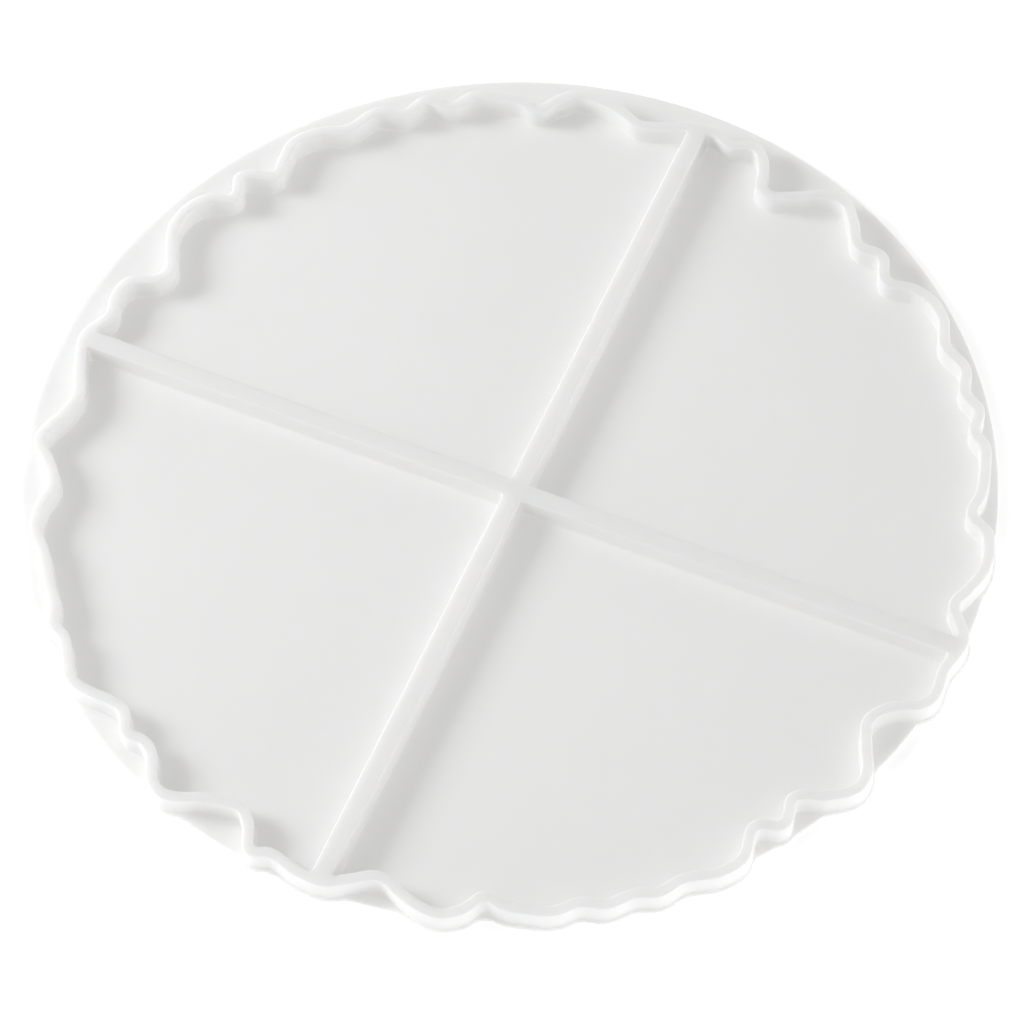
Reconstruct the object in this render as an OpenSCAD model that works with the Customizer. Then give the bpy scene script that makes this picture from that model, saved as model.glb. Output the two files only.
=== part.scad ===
// Round silicone tray mould for resin: a thin round base sheet carries one
// wavy wall and two crossing dividers, so the tray is parted into four open
// cavities. The underside of the sheet is at z = 0 and its middle is the
// origin. The long divider runs along Y, the other one along X.
// Every length is in millimetres.

/* [Base sheet] */
// Diameter of the round sheet
disc_d = 300; // [150:1:420]
// Thickness of the sheet, which is also the floor of every cavity
base_t = 2; // [1:0.1:5]

/* [Wavy wall] */
// Height of the wall above the floor
wall_h = 7.5; // [3:0.1:25]
// Thickness of the wall, measured square to its path
wall_t = 3.4; // [2:0.1:5]
// How far the wall stands back from the rim everywhere, on top of its waves
wall_back = 0; // [0:0.5:10]

/* [Dividers] */
// Width of both dividers
divider_w = 6; // [2:0.1:12]
// Height of the dividers above the floor
divider_h = 7.5; // [3:0.1:25]
// Where the dividers cross, to the right of the sheet's middle
cross_x = 6.2; // [-30:0.1:30]
// Where the dividers cross, behind the sheet's middle
cross_y = -7; // [-30:0.1:30]

/* [Hidden] */

disc_r = disc_d / 2;
reach = disc_d;

// The middle line of the wall, as [angle, distance in from the rim] at each
// crest, each hollow and each place where a wave changes its slope.
WAVES_BACK_RIGHT = [
  [0.5, 3.2],
  [2.4, 6.5],
  [5, 4.2],
  [7.5, 1.6],
  [11.5, 1.4],
  [13.2, 2.8],
  [15.2, 7.6],
  [18.5, 5.4],
  [22.5, 4.2],
  [25, 4],
  [27.2, 6.6],
  [30.3, 4.2],
  [32.8, 7.2],
  [36.2, 5],
  [40.3, 8.4],
  [44, 5.4],
  [47, 5.8],
  [49.5, 8.6],
  [52.2, 14.6],
  [56, 11],
  [59.2, 14.4],
  [62.3, 10.2],
  [65.5, 7],
  [68.4, 10.6],
  [70.6, 16.2],
  [73.6, 21.2],
  [75.6, 19.2],
  [77, 13.6],
  [79.3, 8.8],
  [82.6, 11.8],
  [85, 10.2],
  [88.5, 11.4]
];
WAVES_BACK_LEFT = [
  [92, 14.6],
  [95.2, 16.2],
  [98.5, 12.4],
  [101.5, 10],
  [104.8, 9.4],
  [107, 12.2],
  [109, 16],
  [112, 12.8],
  [115, 11.2],
  [117.8, 10],
  [121, 13.4],
  [124.2, 9.4],
  [127.4, 13],
  [130.6, 9.8],
  [135.3, 12.8],
  [139.8, 9.6],
  [143.3, 10.4],
  [145.2, 14],
  [147.4, 17.6],
  [149.8, 13.2],
  [151.2, 11.4],
  [153.8, 16.4],
  [157, 10.8],
  [160.5, 9.4],
  [163.3, 11.4],
  [165.5, 15.4],
  [168.8, 20.6],
  [171, 18.4],
  [172.6, 13],
  [175.6, 11.2],
  [178.3, 13.2]
];
WAVES_FRONT_LEFT = [
  [182.7, 9.2],
  [187.5, 12],
  [191.8, 14.2],
  [194.5, 11.6],
  [196.7, 7.8],
  [198.5, 5.6],
  [201.5, 9.2],
  [205.2, 11.2],
  [207.8, 7.8],
  [211, 5.2],
  [214.2, 6.8],
  [219, 6.6],
  [222.4, 6.2],
  [224.3, 4],
  [227, 5.4],
  [229.8, 3.6],
  [232.5, 1.6],
  [235.5, 4.8],
  [237.6, 8],
  [239.5, 9.4],
  [242.5, 5.8],
  [244.4, 7.8],
  [246.4, 7],
  [248.7, 2],
  [250.5, 0],
  [253, 2.2],
  [254.7, 5.6],
  [257.5, 9],
  [260, 10.2],
  [261.6, 7.2],
  [263.6, 0.4],
  [265.8, 2],
  [269.5, 0.2]
];
WAVES_FRONT_RIGHT = [
  [273.5, 0.2],
  [275.6, 3],
  [278.8, 6],
  [282, 1.6],
  [284.1, -1.2],
  [286.6, -2.6],
  [288.8, -0.6],
  [291.2, 3.8],
  [293, 1.2],
  [295.6, -0.6],
  [299, -1.8],
  [301.6, 0],
  [304.6, -2],
  [308, -0.6],
  [310.4, -2.2],
  [313.4, -0.4],
  [317.8, -2.6],
  [320.4, -1.6],
  [323.8, 5.8],
  [326.6, 1.8],
  [329.6, 7.2],
  [332.8, 1.4],
  [336, -2.4],
  [338.2, -0.6],
  [340.2, 4.4],
  [343.4, 10.2],
  [346.2, 7.8],
  [349.2, 0],
  [354, 0.8],
  [359.3, 0.8]
];
WAVES = concat(WAVES_BACK_RIGHT, WAVES_BACK_LEFT, WAVES_FRONT_LEFT, WAVES_FRONT_RIGHT);
WAVE_COUNT = len(WAVES);

// Angular step between two points of the wall's outline.
STEP = 0.5;
POINTS = 360 / STEP;

// Knot i of the closed path as [angle, radius], with whole turns added outside 0 to 360.
function knot(i) =
  let (
    turn = floor(i / WAVE_COUNT),
    wave = WAVES[i - turn * WAVE_COUNT]
  )
  [wave[0] + 360 * turn, disc_r - wall_back - wave[1]];

// Slope of the straight line from knot i to the next one, in mm per degree.
function chord(i) = (knot(i + 1)[1] - knot(i)[1]) / (knot(i + 1)[0] - knot(i)[0]);

// Slope of the smooth path at knot i, weighted by the distances to its neighbours.
function knot_slope(i) =
  let (
    before = knot(i)[0] - knot(i - 1)[0],
    after = knot(i + 1)[0] - knot(i)[0]
  )
  (chord(i - 1) * after + chord(i) * before) / (before + after);

// The knot at or before an angle of 0 to 360; -1 is the last knot of the turn before.
function knot_before(angle) = len([for (wave = WAVES) if (wave[0] <= angle) wave]) - 1;

// Radius of the wall's middle line at an angle, by a cubic between two knots.
function middle_r(angle, i) =
  let (
    a = knot(i),
    b = knot(i + 1),
    gap = b[0] - a[0],
    s = (angle - a[0]) / gap
  )
  a[1] * (1 + 2 * s) * pow(1 - s, 2)
  + b[1] * (3 - 2 * s) * pow(s, 2)
  + knot_slope(i) * gap * s * pow(1 - s, 2)
  - knot_slope(i + 1) * gap * (1 - s) * pow(s, 2);

// Slope of that middle line, in mm per degree.
function middle_slope(angle, i) =
  let (
    a = knot(i),
    b = knot(i + 1),
    gap = b[0] - a[0],
    s = (angle - a[0]) / gap
  )
  6 * s * (1 - s) * (b[1] - a[1]) / gap
  + knot_slope(i) * (1 - s) * (1 - 3 * s)
  + knot_slope(i + 1) * s * (3 * s - 2);

// Half the wall's thickness as seen along a radius: more where the wall runs aslant.
function half_depth(angle, i) =
  let (lean = middle_slope(angle, i) * 180 / PI / middle_r(angle, i))
  wall_t / 2 * sqrt(1 + pow(lean, 2));

// One point of the wall's face; side is 1 for the outer face and -1 for the inner one.
function face_point(angle, side) =
  let (
    i = knot_before(angle),
    r = middle_r(angle, i) + side * half_depth(angle, i)
  )
  [r * cos(angle), r * sin(angle)];

OUTER = [for (k = [0:POINTS - 1]) face_point(k * STEP, 1)];
INNER = [for (k = [0:POINTS - 1]) face_point(k * STEP, -1)];

// The whole wavy wall, standing on the sheet.
module wall_ring() {
  translate([0, 0, base_t])
    linear_extrude(height = wall_h)
      difference() {
        polygon(OUTER);
        polygon(INNER);
      }
}

// The space inside the wall, tall enough to trim either divider.
module inside() {
  translate([0, 0, base_t])
    linear_extrude(height = divider_h)
      polygon(INNER);
}

// One quarter of the wall, cut off along the middles of the dividers.
module wall_quarter(x_side, y_side) {
  intersection() {
    wall_ring();
    translate([
      cross_x + (x_side - 1) * reach / 2,
      cross_y + (y_side - 1) * reach / 2,
      0
    ])
      cube([reach, reach, base_t + wall_h + 1]);
  }
}

// The round sheet, bulging with the wall wherever a wave reaches past the circle.
module base_sheet() {
  color("white")
    union() {
      cylinder(h = base_t, d = disc_d);
      linear_extrude(height = base_t)
        polygon(OUTER);
    }
}

module wall_back_right() {
  color("whitesmoke")
    wall_quarter(1, 1);
}

module wall_back_left() {
  color("gainsboro")
    wall_quarter(-1, 1);
}

module wall_front_left() {
  color("whitesmoke")
    wall_quarter(-1, -1);
}

module wall_front_right() {
  color("gainsboro")
    wall_quarter(1, -1);
}

// The divider along Y, from wall to wall.
module divider_long() {
  color("lightgray")
    intersection() {
      inside();
      translate([cross_x - divider_w / 2, -reach, base_t])
        cube([divider_w, 2 * reach, divider_h]);
    }
}

// The two arms of the divider along X, each ending on the side of the long one.
module divider_left() {
  color("silver")
    intersection() {
      inside();
      translate([cross_x - divider_w / 2 - reach, cross_y - divider_w / 2, base_t])
        cube([reach, divider_w, divider_h]);
    }
}

module divider_right() {
  color("silver")
    intersection() {
      inside();
      translate([cross_x + divider_w / 2, cross_y - divider_w / 2, base_t])
        cube([reach, divider_w, divider_h]);
    }
}

base_sheet();
wall_back_right();
wall_back_left();
wall_front_left();
wall_front_right();
divider_long();
divider_left();
divider_right();
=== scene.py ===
# %% [markdown]
# # A silicone tray mould for resin
#
# This lesson builds the looks of a round silicone mould. The real thing is one
# soft moulding: a thin round sheet, a wavy wall standing on it, and two
# dividers that cross. Resin is poured into the four open spaces between them.
#
# The sizes all come from the CAD model, which is loaded first and never
# changed. What we add is what the CAD leaves out: rounded edges, the small
# fillets where silicone fills a corner of its mould tool, and the material.

import math

import bmesh
import bpy
import numpy as np
from mathutils import Matrix, Vector


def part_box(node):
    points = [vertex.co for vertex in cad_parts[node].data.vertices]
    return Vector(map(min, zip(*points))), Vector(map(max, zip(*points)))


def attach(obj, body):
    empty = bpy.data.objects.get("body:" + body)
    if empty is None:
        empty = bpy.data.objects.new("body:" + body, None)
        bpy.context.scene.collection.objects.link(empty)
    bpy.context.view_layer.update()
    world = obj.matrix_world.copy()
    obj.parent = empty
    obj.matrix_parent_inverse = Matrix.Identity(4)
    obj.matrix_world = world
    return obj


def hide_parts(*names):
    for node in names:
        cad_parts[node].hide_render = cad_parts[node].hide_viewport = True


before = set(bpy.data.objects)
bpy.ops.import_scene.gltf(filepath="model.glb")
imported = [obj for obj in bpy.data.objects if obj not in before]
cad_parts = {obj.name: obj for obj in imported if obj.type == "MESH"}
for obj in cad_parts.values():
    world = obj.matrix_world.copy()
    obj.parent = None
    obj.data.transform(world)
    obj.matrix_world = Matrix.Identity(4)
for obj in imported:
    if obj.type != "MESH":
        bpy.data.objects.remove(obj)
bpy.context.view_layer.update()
print("CAD nodes:", sorted(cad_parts))

# %% [markdown]
# ## Sizes
#
# Every size below is measured on the CAD nodes. The dividers give the place
# where the tray is parted, and the walls give the height. Only the small
# roundings are our own choice: a silicone edge is never sharp, because the
# tool it is cast in can't be cut with sharp inside corners. The lip is the
# ledge left where the wall reaches the rim; its share sets how much of it the
# small roundings on either side take up, so that they never meet.

# %% Measure the CAD nodes
WALLS = ["wall_back_right", "wall_back_left", "wall_front_left", "wall_front_right"]
DIVIDERS = ["divider_long", "divider_left", "divider_right"]

sheet_low, sheet_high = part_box("base_sheet")
long_low, long_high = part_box("divider_long")
arm_low, arm_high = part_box("divider_left")

FLOOR = sheet_high.z
TOP = long_high.z
RIM_RADIUS = -sheet_low.x
LONG_SIDES = (long_low.x, long_high.x)
ARM_SIDES = (arm_low.y, arm_high.y)

EDGE_ROUND = 0.0004
CORNER_ROUND = 0.0014
FOOT_ROUND = 0.0004
RIM_ROUND = 0.0007
LIP = 0.0008
LIP_SHARE = 0.2
LEAST_WALL = 0.001
HEIGHT_TOLERANCE = 1e-5
print("floor", FLOOR, "top", TOP, "radius", RIM_RADIUS)

# %% [markdown]
# ## The path of the wall
#
# Seen from above, the wall is a band between two wavy lines. We read both
# lines from the top corners of the CAD walls. Going round the tray, each
# direction meets the inner line once and the outer line once, so the points
# sort themselves by their angle.

# %% Read the two wavy lines
def wall_lines(names):
    """The wall's inner and outer line as lists of (angle, radius), anticlockwise."""
    by_angle = {}
    for name in names:
        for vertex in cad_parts[name].data.vertices:
            if vertex.co.z > TOP - HEIGHT_TOLERANCE:
                angle = round(math.degrees(math.atan2(vertex.co.y, vertex.co.x)) % 360, 2) % 360
                by_angle.setdefault(angle, []).append(math.hypot(vertex.co.x, vertex.co.y))
    inner, outer = [], []
    for angle in sorted(by_angle):
        radii = by_angle[angle]
        if max(radii) - min(radii) > LEAST_WALL:
            inner.append((math.radians(angle), min(radii)))
            outer.append((math.radians(angle), max(radii)))
    return inner, outer


def to_xy(line):
    """Points on the floor plan from a list of (angle, radius)."""
    return [Vector((r * math.cos(a), r * math.sin(a))) for a, r in line]


INNER_LINE, OUTER_LINE = wall_lines(WALLS)
print("points round the wall:", len(INNER_LINE))

# %% [markdown]
# ## The outline of each cavity
#
# A cavity is bounded by the inner wavy line and by two divider sides that
# meet at the middle of the tray. Its three corners are rounded with a short
# curve, as they are on the silicone, so that a cured piece slips out.

# %% Cut the plan into cavities
def crossing(a, b, axis, value):
    """Where the line from a to b meets the divider side at that value."""
    share = (value - a[axis]) / (b[axis] - a[axis])
    return a.lerp(b, share)


def straight(a, b, spacing=0.004):
    """Evenly spaced points from a to b, without b."""
    count = max(1, round((b - a).length / spacing))
    return [a.lerp(b, i / count) for i in range(count)]


def cavity_outline(side_x, side_y):
    """Points round one cavity, anticlockwise. The sides are +1 or -1 of the crossing."""
    x = LONG_SIDES[1] if side_x > 0 else LONG_SIDES[0]
    y = ARM_SIDES[1] if side_y > 0 else ARM_SIDES[0]
    points = to_xy(INNER_LINE)
    keep = [(p.x - x) * side_x > 0 and (p.y - y) * side_y > 0 for p in points]
    first = next(i for i in range(len(points)) if keep[i] and not keep[i - 1])
    arc = []
    i = first
    while keep[i % len(points)]:
        arc.append(points[i % len(points)])
        i += 1
    before, after = points[first - 1], points[i % len(points)]
    starts_on_x = side_x * side_y < 0
    axis, value = (0, x) if starts_on_x else (1, y)
    start = crossing(before, arc[0], axis, value)
    axis, value = (1, y) if starts_on_x else (0, x)
    end = crossing(arc[-1], after, axis, value)
    middle = Vector((x, y))
    outline = [start] + arc + straight(end, middle) + straight(middle, start)
    corners = [start, end, middle]
    return round_corners(outline, corners, CORNER_ROUND)


def round_corners(outline, corners, size, steps=6):
    """Replaces the points near each corner with a short curve."""
    rounded = []
    count = len(outline)
    near = [next((c for c in corners if (p - c).length < size), None) for p in outline]
    first = next(i for i in range(count) if near[i] is None)
    i = first
    while i < first + count:
        point, corner = outline[i % count], near[i % count]
        if corner is None:
            rounded.append(point)
            i += 1
            continue
        while near[i % count] is corner:
            i += 1
        before, after = rounded[-1], outline[i % count]
        a = corner + (before - corner).normalized() * size
        b = corner + (after - corner).normalized() * size
        for step in range(steps + 1):
            t = step / steps
            rounded.append(a * (1 - t) ** 2 + corner * 2 * t * (1 - t) + b * t * t)
    return rounded


CAVITIES = [cavity_outline(x, y) for x, y in ((1, 1), (-1, 1), (-1, -1), (1, -1))]
print("points round each cavity:", [len(c) for c in CAVITIES])

# %% [markdown]
# ## The rim of the sheet
#
# The sheet is a circle. At the front a few waves of the wall reach as far as
# the rim or a little past it, and there the sheet bulges to carry them. So
# the rim is wherever the circle or the wall, with a narrow lip, is further
# out. A soft maximum blends one into the other without a notch.

# %% Find the rim
def soft_max(a, b, blend=0.0012):
    """The larger of two lengths, easing from one to the other."""
    gap = max(0, 1 - abs(a - b) / blend)
    return max(a, b) + gap * gap * blend / 4


RIM_LINE = [(a, soft_max(RIM_RADIUS, r + LIP)) for a, r in OUTER_LINE]


def plan_object(name, loops):
    """A mesh of closed edge loops on the ground; zone says which loop is which."""
    mesh = bpy.data.meshes.new(name)
    points, edges, zones = [], [], []
    for zone, loop in loops:
        start = len(points)
        points += [(p.x, p.y, 0) for p in loop]
        edges += [(start + i, start + (i + 1) % len(loop)) for i in range(len(loop))]
        zones += [zone] * len(loop)
    mesh.from_pydata(points, edges, [])
    mesh.attributes.new("zone", "INT", "POINT").data.foreach_set("value", zones)
    obj = bpy.data.objects.new(name, mesh)
    bpy.context.scene.collection.objects.link(obj)
    return obj


RIM, WALL, CAVITY = 0, 1, 2
plan = plan_object(
    "silicone_tray",
    [(RIM, to_xy(RIM_LINE)), (WALL, to_xy(OUTER_LINE))] + [(CAVITY, c) for c in CAVITIES],
)
print("plan points:", len(plan.data.vertices))

# %% [markdown]
# ## Geometry Nodes: from the plan to the moulding
#
# Each outline is swept with its own small profile: the rim's, the outside of
# the wall and the inside of each cavity. A profile is a few straight lines
# whose corners are rounded by the Fillet Curve node. The flat parts between
# the swept bands, which are the floors, the flange, the wall's top and the
# underside, are filled in with Fill Curve. The result is one closed skin, as
# the real moulding is one piece.

# %% Helpers that place and join nodes
def add(tree, kind, **settings):
    """Adds a node of a kind and sets the properties given by name."""
    node = tree.nodes.new(kind)
    for key, value in settings.items():
        setattr(node, key, value)
    return node


def wire(tree, pairs):
    """Joins sockets, given as (from, to) pairs."""
    for a, b in pairs:
        tree.links.new(a, b)


def calculate(tree, operation, a, b):
    """A Math node; a and b are sockets or numbers."""
    node = add(tree, "ShaderNodeMath", operation=operation)
    for socket, value in zip(node.inputs, (a, b)):
        if isinstance(value, (int, float)):
            socket.default_value = value
        else:
            tree.links.new(value, socket)
    return node.outputs[0]


def point_at(tree, x, y):
    """A Combine XYZ node in the profile's plane; y is up."""
    node = add(tree, "ShaderNodeCombineXYZ")
    for socket, value in zip(node.inputs, (x, y)):
        if isinstance(value, (int, float)):
            socket.default_value = value
        else:
            tree.links.new(value, socket)
    return node.outputs[0]


# %% [markdown]
# ### One swept band
#
# This small node group is used three times. Its profile starts on the upper
# flat, turns down over a rounded edge, and turns out on to the lower flat in
# a rounded foot. The curve's own normals point away from the middle of each
# loop, so a positive reach goes outwards and a negative one goes inwards.
# The group also gives the two loops at which the flats must join the band.

# %% Build the band group
ROUND_STEPS = 6


def band_group():
    """The node group that sweeps one rounded profile along a closed outline."""
    group = bpy.data.node_groups.new("rounded_band", "GeometryNodeTree")
    face = group.interface
    face.new_socket("Outline", in_out="INPUT", socket_type="NodeSocketGeometry")
    for size in ("Height", "Reach", "Radius"):
        for side in ("Upper", "Lower"):
            face.new_socket(f"{side} {size}", in_out="INPUT", socket_type="NodeSocketFloat")
    face.new_socket("Band", in_out="OUTPUT", socket_type="NodeSocketGeometry")
    face.new_socket("Upper Loop", in_out="OUTPUT", socket_type="NodeSocketGeometry")
    face.new_socket("Lower Loop", in_out="OUTPUT", socket_type="NodeSocketGeometry")
    given = add(group, "NodeGroupInput").outputs
    made = add(group, "NodeGroupOutput").inputs

    upright = add(group, "GeometryNodeSetCurveNormal", mode="Z_UP")
    upper = calculate(group, "MULTIPLY", given["Upper Height"], -1)
    lower = calculate(group, "MULTIPLY", given["Lower Height"], -1)
    top_flat = add(group, "GeometryNodeCurvePrimitiveLine")
    down = add(group, "GeometryNodeCurvePrimitiveLine")
    wire(group, [
        (point_at(group, given["Upper Reach"], upper), top_flat.inputs["Start"]),
        (point_at(group, 0.0, upper), top_flat.inputs["End"]),
        (point_at(group, 0.0, lower), down.inputs["Start"]),
        (point_at(group, given["Lower Reach"], lower), down.inputs["End"]),
    ])
    both = add(group, "GeometryNodeJoinGeometry")
    wire(group, [(down.outputs[0], both.inputs[0]), (top_flat.outputs[0], both.inputs[0])])
    as_points = add(group, "GeometryNodeCurveToPoints", mode="EVALUATED")
    as_line = add(group, "GeometryNodePointsToCurves")
    index = add(group, "GeometryNodeInputIndex")
    is_foot = add(group, "FunctionNodeCompare", data_type="INT", operation="GREATER_THAN")
    is_foot.inputs["B"].default_value = 1
    radius = add(group, "GeometryNodeSwitch", input_type="FLOAT")
    fillet = add(group, "GeometryNodeFilletCurve", mode="POLY")
    fillet.inputs["Count"].default_value = ROUND_STEPS
    fillet.inputs["Limit Radius"].default_value = True
    wire(group, [
        (both.outputs[0], as_points.inputs[0]),
        (as_points.outputs["Points"], as_line.inputs["Points"]),
        (index.outputs[0], is_foot.inputs["A"]),
        (is_foot.outputs[0], radius.inputs["Switch"]),
        (given["Upper Radius"], radius.inputs["False"]),
        (given["Lower Radius"], radius.inputs["True"]),
        (as_line.outputs[0], fillet.inputs["Curve"]),
        (radius.outputs[0], fillet.inputs["Radius"]),
    ])
    sweep = add(group, "GeometryNodeCurveToMesh")
    smooth = add(group, "GeometryNodeSetShadeSmooth")
    wire(group, [
        (given["Outline"], upright.inputs["Curve"]),
        (upright.outputs[0], sweep.inputs["Curve"]),
        (fillet.outputs[0], sweep.inputs["Profile Curve"]),
        (sweep.outputs[0], smooth.inputs["Geometry"]),
        (smooth.outputs[0], made["Band"]),
    ])
    for side in ("Upper", "Lower"):
        aside = add(group, "ShaderNodeVectorMath", operation="SCALE")
        lift = add(group, "ShaderNodeCombineXYZ")
        total = add(group, "ShaderNodeVectorMath", operation="ADD")
        move = add(group, "GeometryNodeSetPosition")
        wire(group, [
            (add(group, "GeometryNodeInputNormal").outputs[0], aside.inputs[0]),
            (given[f"{side} Reach"], aside.inputs["Scale"]),
            (given[f"{side} Height"], lift.inputs["Z"]),
            (aside.outputs[0], total.inputs[0]),
            (lift.outputs[0], total.inputs[1]),
            (total.outputs[0], move.inputs["Offset"]),
            (upright.outputs[0], move.inputs["Geometry"]),
            (move.outputs[0], made[f"{side} Loop"]),
        ])
    return group


band = band_group()
print("band group nodes:", len(band.nodes))

# %% [markdown]
# ### The whole tray
#
# The main tree splits the plan into its outlines by the zone attribute, sweeps
# each one, and fills the flats between them. Its inputs are the sizes a mould
# maker would change: heights and roundings.

# %% Build the tray tree
WELD_DISTANCE = 2e-6


def tray_tree(material):
    """The Geometry Nodes tree that turns the plan into the whole moulding."""
    tree = bpy.data.node_groups.new("moulded_tray", "GeometryNodeTree")
    face = tree.interface
    face.new_socket("Plan", in_out="INPUT", socket_type="NodeSocketGeometry")
    for name in ("Floor Height", "Wall Top", "Edge Radius", "Foot Radius", "Rim Radius", "Lip"):
        face.new_socket(name, in_out="INPUT", socket_type="NodeSocketFloat")
    face.new_socket("Tray", in_out="OUTPUT", socket_type="NodeSocketGeometry")
    given = add(tree, "NodeGroupInput").outputs
    made = add(tree, "NodeGroupOutput").inputs

    def outline(zone):
        curve = add(tree, "GeometryNodeMeshToCurve")
        named = add(tree, "GeometryNodeInputNamedAttribute", data_type="INT")
        named.inputs["Name"].default_value = "zone"
        same = add(tree, "FunctionNodeCompare", data_type="INT", operation="EQUAL")
        same.inputs["B"].default_value = zone
        wire(tree, [
            (named.outputs["Attribute"], same.inputs["A"]),
            (same.outputs[0], curve.inputs["Selection"]),
            (given["Plan"], curve.inputs["Mesh"]),
        ])
        return curve.outputs[0]

    def swept(zone, upper, lower, upper_reach, lower_reach, upper_radius, lower_radius):
        node = add(tree, "GeometryNodeGroup", node_tree=band)
        tree.links.new(outline(zone), node.inputs["Outline"])
        values = (upper, lower, upper_reach, lower_reach, upper_radius, lower_radius)
        for socket, value in zip(node.inputs[1:], values):
            if isinstance(value, (int, float)):
                socket.default_value = value
            else:
                tree.links.new(value, socket)
        return node.outputs

    def filled(height, *loops):
        joined = add(tree, "GeometryNodeJoinGeometry")
        for loop in loops:
            tree.links.new(loop, joined.inputs[0])
        fill = add(tree, "GeometryNodeFillCurve")
        place = add(tree, "GeometryNodeTransform")
        flat = add(tree, "GeometryNodeSetShadeSmooth")
        flat.inputs["Shade Smooth"].default_value = False
        up = add(tree, "ShaderNodeCombineXYZ")
        if isinstance(height, (int, float)):
            up.inputs["Z"].default_value = height
        else:
            tree.links.new(height, up.inputs["Z"])
        wire(tree, [
            (joined.outputs[0], fill.inputs[0]),
            (fill.outputs[0], place.inputs["Geometry"]),
            (up.outputs[0], place.inputs["Translation"]),
            (place.outputs[0], flat.inputs["Geometry"]),
        ])
        return flat.outputs[0]

    floor, top = given["Floor Height"], given["Wall Top"]
    edge, foot = given["Edge Radius"], given["Foot Radius"]
    inward = calculate(tree, "MULTIPLY", given["Rim Radius"], -1)
    lip_round = calculate(tree, "MULTIPLY", given["Lip"], LIP_SHARE)
    rim_in = calculate(tree, "MULTIPLY", given["Lip"], -LIP_SHARE)
    minus_edge = calculate(tree, "MULTIPLY", edge, -1)
    minus_foot = calculate(tree, "MULTIPLY", foot, -1)

    rim = swept(RIM, floor, 0.0, rim_in, inward, lip_round, given["Rim Radius"])
    wall = swept(WALL, top, floor, minus_edge, lip_round, edge, lip_round)
    cavity = swept(CAVITY, top, floor, edge, minus_foot, edge, foot)
    parts = [
        rim["Band"], wall["Band"], cavity["Band"],
        filled(floor, rim["Upper Loop"], wall["Lower Loop"]),
        filled(top, wall["Upper Loop"], cavity["Upper Loop"]),
        filled(floor, cavity["Lower Loop"]),
        filled(0.0, rim["Lower Loop"]),
    ]
    whole = add(tree, "GeometryNodeJoinGeometry")
    for part in parts:
        tree.links.new(part, whole.inputs[0])
    weld = add(tree, "GeometryNodeMergeByDistance")
    weld.inputs["Distance"].default_value = WELD_DISTANCE
    realize = add(tree, "GeometryNodeRealizeInstances")
    paint = add(tree, "GeometryNodeSetMaterial")
    paint.inputs["Material"].default_value = material
    wire(tree, [
        (whole.outputs[0], weld.inputs[0]),
        (weld.outputs[0], realize.inputs[0]),
        (realize.outputs[0], paint.inputs["Geometry"]),
        (paint.outputs[0], made["Tray"]),
    ])
    return tree


# %% [markdown]
# ## The silicone
#
# White platinum silicone is satin, slightly see-through, and lets light leak
# a few millimetres under its skin, which is why a thin wall glows on its
# shaded side. The shader uses subsurface scattering for that. A fine grain
# from the tool's surface breaks up the shine, and a slower, softer noise
# gives the small unevenness that a floppy sheet always has.

# %% Make the silicone material
def silicone_material():
    """Satin white silicone, slightly see-through, with a fine grain."""
    material = bpy.data.materials.new("satin_white_silicone")
    material.use_nodes = True
    tree = material.node_tree
    tree.nodes.clear()
    place = add(tree, "ShaderNodeTexCoord").outputs["Object"]
    output = add(tree, "ShaderNodeOutputMaterial")
    shader = add(tree, "ShaderNodeBsdfPrincipled")
    shader.inputs["IOR"].default_value = 1.41
    shader.inputs["Subsurface Weight"].default_value = 1.0
    shader.inputs["Subsurface Radius"].default_value = (1.0, 0.95, 0.9)
    shader.inputs["Subsurface Scale"].default_value = 0.005
    shader.inputs["Specular IOR Level"].default_value = 0.5

    cloud = add(tree, "ShaderNodeTexNoise")
    cloud.inputs["Scale"].default_value = 14.0
    cloud.inputs["Detail"].default_value = 3.0
    tint = add(tree, "ShaderNodeValToRGB")
    tint.color_ramp.elements[0].position = 0.3
    tint.color_ramp.elements[0].color = (0.895, 0.895, 0.89, 1)
    tint.color_ramp.elements[1].position = 0.7
    tint.color_ramp.elements[1].color = (0.915, 0.915, 0.912, 1)
    wire(tree, [
        (place, cloud.inputs["Vector"]),
        (cloud.outputs["Fac"], tint.inputs["Fac"]),
        (tint.outputs["Color"], shader.inputs["Base Color"]),
    ])

    grain = add(tree, "ShaderNodeTexNoise")
    grain.inputs["Scale"].default_value = 2600.0
    grain.inputs["Detail"].default_value = 2.0
    shine = add(tree, "ShaderNodeMapRange")
    shine.inputs["To Min"].default_value = 0.36
    shine.inputs["To Max"].default_value = 0.5
    wire(tree, [
        (place, grain.inputs["Vector"]),
        (grain.outputs["Fac"], shine.inputs["Value"]),
        (shine.outputs["Result"], shader.inputs["Roughness"]),
    ])

    slow = add(tree, "ShaderNodeTexNoise")
    slow.inputs["Scale"].default_value = 28.0
    slow.inputs["Detail"].default_value = 1.0
    fine_bump = add(tree, "ShaderNodeBump")
    fine_bump.inputs["Strength"].default_value = 0.12
    fine_bump.inputs["Distance"].default_value = 0.00005
    slow_bump = add(tree, "ShaderNodeBump")
    slow_bump.inputs["Strength"].default_value = 0.25
    slow_bump.inputs["Distance"].default_value = 0.0004
    wire(tree, [
        (place, slow.inputs["Vector"]),
        (grain.outputs["Fac"], fine_bump.inputs["Height"]),
        (slow.outputs["Fac"], slow_bump.inputs["Height"]),
        (slow_bump.outputs["Normal"], fine_bump.inputs["Normal"]),
        (fine_bump.outputs["Normal"], shader.inputs["Normal"]),
        (shader.outputs["BSDF"], output.inputs["Surface"]),
    ])
    return material


silicone = silicone_material()
print("silicone nodes:", len(silicone.node_tree.nodes))

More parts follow.
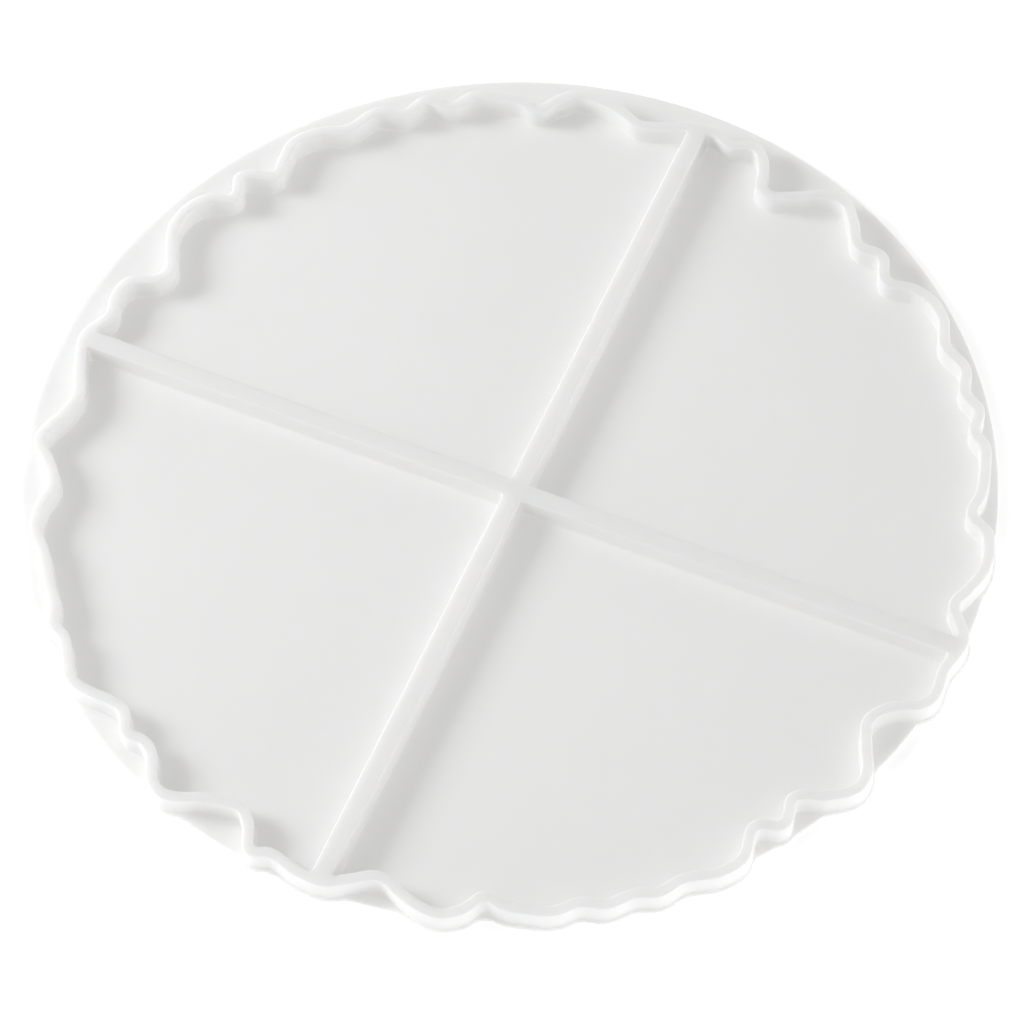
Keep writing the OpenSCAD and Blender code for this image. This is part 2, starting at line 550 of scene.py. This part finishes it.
# %% [markdown]
# ## Run the nodes and keep the result
#
# The tree is put on the plan, its inputs are set by their identifiers, and
# the evaluated mesh is kept as plain geometry. The normals are then turned
# outward all over, which works only if the skin is closed, so the open edges
# are counted.

# %% Make the tray
def run_tree(obj, tree, values):
    """Applies a Geometry Nodes tree to an object, with inputs given by name."""
    modifier = obj.modifiers.new(tree.name, "NODES")
    modifier.node_group = tree
    for item in tree.interface.items_tree:
        if item.item_type == "SOCKET" and item.in_out == "INPUT" and item.name in values:
            modifier[item.identifier] = values[item.name]
    depsgraph = bpy.context.evaluated_depsgraph_get()
    mesh = bpy.data.meshes.new_from_object(obj.evaluated_get(depsgraph))
    obj.modifiers.remove(modifier)
    obj.data = mesh
    return obj


def close_and_turn_out(obj):
    """Makes all normals point outward and tells how many edges are open."""
    work = bmesh.new()
    work.from_mesh(obj.data)
    bmesh.ops.recalc_face_normals(work, faces=work.faces)
    open_edges = sum(1 for e in work.edges if len(e.link_faces) != 2)
    work.to_mesh(obj.data)
    millilitres = round(work.calc_volume() * 1e6, 1)
    print(obj.name, "faces", len(work.faces), "open edges", open_edges, "volume ml", millilitres)
    work.free()


tray_nodes = tray_tree(silicone)
print("tray tree nodes:", len(tray_nodes.nodes))
tray = run_tree(plan, tray_nodes, {
    "Floor Height": FLOOR,
    "Wall Top": TOP,
    "Edge Radius": EDGE_ROUND,
    "Foot Radius": FOOT_ROUND,
    "Rim Radius": RIM_ROUND,
    "Lip": LIP,
})
close_and_turn_out(tray)
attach(tray, "root")
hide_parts("base_sheet", *WALLS, *DIVIDERS)

# %% [markdown]
# ## The table
#
# The mould lies on a glossy white light table, a stage and not part of the
# object. The table glows a little from inside. The glow makes it read as pure
# white, and some of it shines up through the thin sheet of silicone, which is
# why the floors of the cavities look lighter than the thick dividers. Just
# round the rim the glow is turned down, which paints a narrow soft shadow on
# the table there.

# %% Make the table
# Width outside the rim over which the table's glow rises: this fade is a painted soft shadow round the
# rim.
PAINTED_RIM_SHADOW_WIDTH = 0.008


def table_material():
    """Glossy white acrylic that glows, a little less under the mould than round it; the glow rising
    just outside the rim paints a narrow soft shadow.
    """
    material = bpy.data.materials.new("glossy_white_table")
    material.use_nodes = True
    tree = material.node_tree
    shader = tree.nodes["Principled BSDF"]
    shader.inputs["Base Color"].default_value = (0.97, 0.97, 0.97, 1)
    shader.inputs["Roughness"].default_value = 0.12
    shader.inputs["Emission Color"].default_value = (1, 1, 1, 1)
    place = add(tree, "ShaderNodeTexCoord").outputs["Object"]
    radius = add(tree, "ShaderNodeVectorMath", operation="LENGTH")
    # The glow is weakest at the rim and rises over a short width, which paints a narrow soft shadow on
    # the table.
    glow = add(tree, "ShaderNodeMapRange", interpolation_type="SMOOTHSTEP")
    glow.inputs["From Min"].default_value = RIM_RADIUS
    glow.inputs["From Max"].default_value = RIM_RADIUS + PAINTED_RIM_SHADOW_WIDTH
    glow.inputs["To Min"].default_value = 0.345
    glow.inputs["To Max"].default_value = 0.52
    wire(tree, [
        (place, radius.inputs[0]),
        (radius.outputs["Value"], glow.inputs["Value"]),
        (glow.outputs["Result"], shader.inputs["Emission Strength"]),
    ])
    return material


def table(size=6.0, gap=0.0001):
    """A flat square just under the mould."""
    mesh = bpy.data.meshes.new("table")
    half = size / 2
    corners = [(-half, -half, 0), (half, -half, 0), (half, half, 0), (-half, half, 0)]
    mesh.from_pydata(corners, [], [(0, 1, 2, 3)])
    mesh.materials.append(table_material())
    obj = bpy.data.objects.new("table", mesh)
    bpy.context.scene.collection.objects.link(obj)
    obj.location.z = -gap
    return obj


work_table = table()
print("table size:", tuple(work_table.dimensions))

# %% [markdown]
# ## Light
#
# One window stands fairly low on the left. It is near enough for the left
# cavities to be a little lighter than the right ones, and it throws the soft
# shadows to the right of the walls. A long, low white card on the right only
# grazes the floors, but it lifts the upright faces that turn away from the
# window. A bright room, strongest at the horizon, fills the rest, so the
# shadows stay pale.

# %% Place the lights
def lamp(name, place, target, width, height, power):
    """A rectangular lamp that faces a target; its sizes are in metres, its power in watts."""
    light = bpy.data.lights.new(name, "AREA")
    light.shape = "RECTANGLE"
    light.size = width
    light.size_y = height
    light.energy = power
    obj = bpy.data.objects.new(name, light)
    bpy.context.scene.collection.objects.link(obj)
    obj.location = place
    obj.rotation_euler = (Vector(target) - Vector(place)).to_track_quat("-Z", "Y").to_euler()
    return obj


lamp("window_left", (-1.3, -0.25, 0.75), (0, 0, 0), 0.52, 0.54, 11.8)
lamp("card_right", (1.5, 0.2, 0.14), (0, 0, 0), 2.4, 0.22, 6.7)


def bright_room(at_horizon, overhead):
    """A white world whose strength fades evenly from the horizon to straight up."""
    world = bpy.data.worlds.new("bright_room")
    world.use_nodes = True
    sky = world.node_tree
    split = add(sky, "ShaderNodeSeparateXYZ")
    fade = add(sky, "ShaderNodeMapRange")
    fade.inputs["To Min"].default_value = at_horizon
    fade.inputs["To Max"].default_value = overhead
    room = sky.nodes["Background"]
    room.inputs["Color"].default_value = (1, 1, 1, 1)
    wire(sky, [
        (add(sky, "ShaderNodeTexCoord").outputs["Generated"], split.inputs[0]),
        (split.outputs["Z"], fade.inputs["Value"]),
        (fade.outputs["Result"], room.inputs["Strength"]),
    ])
    return world


bpy.context.scene.world = bright_room(at_horizon=0.91, overhead=0.34)
bpy.context.scene.view_settings.view_transform = "Standard"
print("lamps:", [light.name for light in bpy.data.lights])

# %% [markdown]
# ## Camera
#
# A long lens looks down at the tray from the front right. The angles are the
# direction of view: how far it is turned, how steeply it looks down, and how
# much the camera leans.

# %% Place the camera
def camera(turn, down, lean, distance, target, lens):
    """A camera that looks at a target from a distance, with all angles in degrees."""
    a, e, k = (math.radians(v) for v in (turn, down, lean))
    ahead = Vector((-math.sin(a) * math.cos(e), math.cos(a) * math.cos(e), -math.sin(e)))
    right = Vector((math.cos(a), math.sin(a), 0))
    up = right.cross(ahead)
    side = right * math.cos(k) + up * math.sin(k)
    above = up * math.cos(k) - right * math.sin(k)
    data = bpy.data.cameras.new("camera")
    data.lens = lens
    data.sensor_width = 36
    data.clip_end = 20
    obj = bpy.data.objects.new("camera", data)
    turned = Matrix((side, above, -ahead)).transposed()
    obj.matrix_world = Matrix.Translation(Vector(target) - ahead * distance) @ turned.to_4x4()
    bpy.context.scene.collection.objects.link(obj)
    return obj


bpy.context.scene.camera = camera(
    turn=26.914,
    down=58.901,
    lean=-3.85,
    distance=1.4,
    target=(0.00575, -0.00972, 0),
    lens=161.0,
)
print("camera stands at", tuple(round(v, 3) for v in bpy.context.scene.camera.matrix_world.translation))
